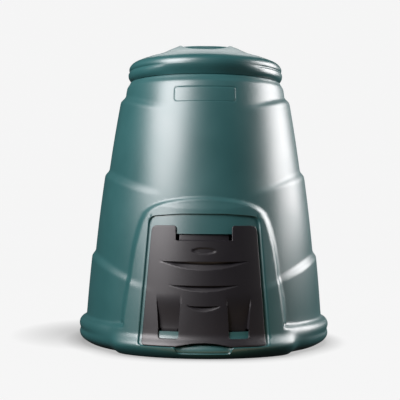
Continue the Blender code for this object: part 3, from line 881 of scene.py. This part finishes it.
GREEN, CHARCOAL = (.0150, .070, .072), (.0068, .0058, .0080)
finishes = {"green_shell": plastic("green_shell_plastic", GREEN, rough=.40, mottle=.07, level=.8),
            "green_lid": plastic("green_lid_plastic", GREEN, rough=.36, mottle=.07, level=.8),
            "dark_hatch": plastic("charcoal_hatch_plastic", CHARCOAL, rough=.43, mottle=.08, level=.54)}
for obj, name in ((body, "green_shell"), (lid, "green_lid"), (hatch, "dark_hatch")):
    obj.data.materials.append(finishes[name])
print("finishes", list(finishes))

# %% [markdown]
# The stage is one sheet of pale paper that lies on the ground and sweeps up behind the bin, so that no
# horizon shows. It starts as a single line, drawn along one side and extruded across.

# %% Paper sweep
SWEEP_FRONT, SWEEP_BACK, SWEEP_R, SWEEP_TOP, SWEEP_HALF = -4.5, 3.2, 1.2, 6, 7
sweep = bmesh.new()
path = [(SWEEP_FRONT, 0), (SWEEP_BACK, 0)]
path += [(SWEEP_BACK + SWEEP_R * math.sin(t), SWEEP_R - SWEEP_R * math.cos(t))
         for t in np.linspace(.2, math.pi / 2, 8)]
path.append((SWEEP_BACK + SWEEP_R, SWEEP_TOP))
edge = [sweep.verts.new((-SWEEP_HALF, y, z)) for y, z in path]
line = [sweep.edges.new(pair) for pair in zip(edge, edge[1:])]
made = bmesh.ops.extrude_edge_only(sweep, edges=line)
bmesh.ops.translate(sweep, verts=[g for g in made["geom"] if isinstance(g, bmesh.types.BMVert)],
                    vec=(2 * SWEEP_HALF, 0, 0))
bmesh.ops.recalc_face_normals(sweep, faces=sweep.faces)
sweep_mesh = bpy.data.meshes.new("sweep")
sweep.to_mesh(sweep_mesh)
sweep_mesh.shade_smooth()
floor = bpy.data.objects.new("sweep", sweep_mesh)
bpy.context.scene.collection.objects.link(floor)
print("paper sweep", len(sweep_mesh.polygons), "faces")

# %% [markdown]
# Under many lamps a studio's paper looks evenly bright. Here it glows by itself and throws no light of its
# own on the bin. Where the bin shuts it in, close to the ring, ambient occlusion dims the glow; that is
# painted contact shade, not a shadow cast by the lamps. On top of that a round pool of painted shadow lies
# on the floor at the left, standing in for shade on the side that the strong light doesn't reach.

# %% Glowing paper with painted shade
# The glow falls to its least where ambient occlusion finds the paper shut in: painted contact shade.
PAPER_GREY, GLOW_FULL, GLOW_IN_PAINTED_SHADE, PAINTED_SHADE_FROM, PAINTED_SHADE_REACH = .004, .913, .5, .35, .065
PAINTED_SHADOW_POOL = ((-.34, .27), (.14, .36))  # middle and reach of the painted pool of shadow, across and back
# How strongly the painted pool of shadow darkens the glow at its middle.
PAINTED_SHADOW_DARK = .5
paper = bpy.data.materials.new("paper")
paper.use_nodes = True
nodes, links = paper.node_tree.nodes, paper.node_tree.links
face = nodes["Principled BSDF"].inputs
face["Base Color"].default_value, face["Roughness"].default_value = (*[PAPER_GREY] * 3, 1), 1
face["Specular IOR Level"].default_value, face["Emission Color"].default_value = 0, (1, 1, 1, 1)
# Ambient occlusion near the ring dims the paper's glow: painted contact shade.
painted_contact_shade = nodes.new("ShaderNodeAmbientOcclusion")
painted_contact_shade.inputs["Distance"].default_value = PAINTED_SHADE_REACH
glow_with_painted_shade = nodes.new("ShaderNodeMapRange")
glow_with_painted_shade.inputs["From Min"].default_value = PAINTED_SHADE_FROM
glow_with_painted_shade.inputs["To Min"].default_value, glow_with_painted_shade.inputs["To Max"].default_value = GLOW_IN_PAINTED_SHADE, GLOW_FULL
links.new(painted_contact_shade.outputs["AO"], glow_with_painted_shade.inputs["Value"])
where = nodes.new("ShaderNodeTexCoord")
centred = nodes.new("ShaderNodeMapping")
for i, (centre, reach) in enumerate(PAINTED_SHADOW_POOL):
    centred.inputs["Scale"].default_value[i] = 1 / reach
    centred.inputs["Location"].default_value[i] = -centre / reach
# A round gradient darkens the glow at the left: a painted pool of shadow.
painted_shadow_pool = nodes.new("ShaderNodeTexGradient")
painted_shadow_pool.gradient_type = "SPHERICAL"
painted_shadow_fade = nodes.new("ShaderNodeMath")
painted_shadow_fade.operation = "MULTIPLY_ADD"
painted_shadow_fade.inputs[1].default_value, painted_shadow_fade.inputs[2].default_value = -PAINTED_SHADOW_DARK, 1
# The glow is multiplied by the painted contact shade and the painted pool of shadow.
paper_glow_and_painted_shade = nodes.new("ShaderNodeMath")
paper_glow_and_painted_shade.operation = "MULTIPLY"
links.new(where.outputs["Object"], centred.inputs["Vector"])
links.new(centred.outputs["Vector"], painted_shadow_pool.inputs["Vector"])
links.new(painted_shadow_pool.outputs["Fac"], painted_shadow_fade.inputs[0])
links.new(glow_with_painted_shade.outputs["Result"], paper_glow_and_painted_shade.inputs[0])
links.new(painted_shadow_fade.outputs[0], paper_glow_and_painted_shade.inputs[1])
links.new(paper_glow_and_painted_shade.outputs[0], face["Emission Strength"])
sweep_mesh.materials.append(paper)
floor.visible_diffuse = floor.visible_glossy = False
bpy.context.scene.view_settings.view_transform = "Standard"
print("paper glows at", GLOW_FULL, "and at", GLOW_IN_PAINTED_SHADE, "where it is shut in")

# %% [markdown]
# The bin has no bottom: inside the ring it stands on dark soil. A flat disc does for it, just above the
# paper, so that a lifted lid shows earth and not studio paper. It is part of the stage, not of the bin.

# %% Soil inside the ring
SOIL_R = .328
patch = bmesh.new()
bmesh.ops.create_circle(patch, cap_ends=True, segments=64, radius=SOIL_R)
bmesh.ops.translate(patch, verts=patch.verts, vec=(0, AXIS_Y, MM))
soil_mesh = bpy.data.meshes.new("soil")
patch.to_mesh(soil_mesh)
soil = bpy.data.objects.new("soil", soil_mesh)
bpy.context.scene.collection.objects.link(soil)
earth = bpy.data.materials.new("earth")
earth.use_nodes = True
earth.node_tree.nodes["Principled BSDF"].inputs["Base Color"].default_value = (.02, .015, .011, 1)
earth.node_tree.nodes["Principled BSDF"].inputs["Roughness"].default_value = .95
soil_mesh.materials.append(earth)
print("stage", floor.name, soil.name)

# %% [markdown]
# A broad soft light stands high at the left, and another one at the right and a little behind. The gap
# between them leaves the dark band on the front. A weak light behind keeps the back edges from going
# black, and a small warm strip on the floor lights the foot from below, as a sunlit floor would.

# %% Lights
ROOM_LIGHT = .03
world = bpy.data.worlds.new("studio")
world.use_nodes = True
world.node_tree.nodes["Background"].inputs["Color"].default_value = (1, 1, 1, 1)
world.node_tree.nodes["Background"].inputs["Strength"].default_value = ROOM_LIGHT
bpy.context.scene.world = world


def softbox(name, azimuth, elevation, distance, wide, tall, watts, aim=(0, 0, .42), tint=(1, 1, 1)):
    """An area light round the bin: azimuth 0 is the front and 90 the right."""
    light = bpy.data.lights.new(name, "AREA")
    light.shape, light.size, light.size_y, light.energy = "RECTANGLE", wide, tall, watts
    light.color = tint
    obj = bpy.data.objects.new(name, light)
    a, e = math.radians(azimuth), math.radians(elevation)
    offset = Vector((math.sin(a) * math.cos(e), -math.cos(a) * math.cos(e), math.sin(e))) * distance
    obj.location = Vector(aim) + offset
    obj.rotation_mode = "QUATERNION"
    obj.rotation_quaternion = offset.to_track_quat("Z", "Y")
    obj.visible_camera = False
    bpy.context.scene.collection.objects.link(obj)
    return obj


softbox("left_key", azimuth=-48, elevation=34, distance=2.7, wide=1.8, tall=1.9, watts=165,
        tint=(1, .96, .975))
softbox("right_rim", azimuth=104, elevation=22, distance=2.5, wide=1.7, tall=1.7, watts=118,
        tint=(1, .96, .965))
softbox("behind", azimuth=180, elevation=40, distance=2.9, wide=1.3, tall=.9, watts=9)
softbox("floor_glow", azimuth=0, elevation=-90, distance=.897, wide=1.5, tall=.16, watts=.6,
        aim=(0, -.47, .9), tint=(1, .74, .45))
print("lights placed")

# %% [markdown]
# The camera stands low, level with the middle of the bin, on a long lens.

# %% Camera
LENS, FILM_WIDTH = 83.7, 36
CAMERA_ASIDE, CAMERA_AWAY, CAMERA_HIGH = .0018, 2.84, .4107
CAMERA_TURN = (90.25, -.38, .31)  # degrees: pitch, roll and heading
lens = bpy.data.cameras.new("camera")
lens.lens, lens.sensor_width = LENS, FILM_WIDTH
camera = bpy.data.objects.new("camera", lens)
camera.location = (CAMERA_ASIDE, AXIS_Y - CAMERA_AWAY, CAMERA_HIGH)
camera.rotation_euler = [math.radians(turn) for turn in CAMERA_TURN]
bpy.context.scene.collection.objects.link(camera)
bpy.context.scene.camera = camera
print("camera", CAMERA_AWAY, "m away on a", LENS, "mm lens")
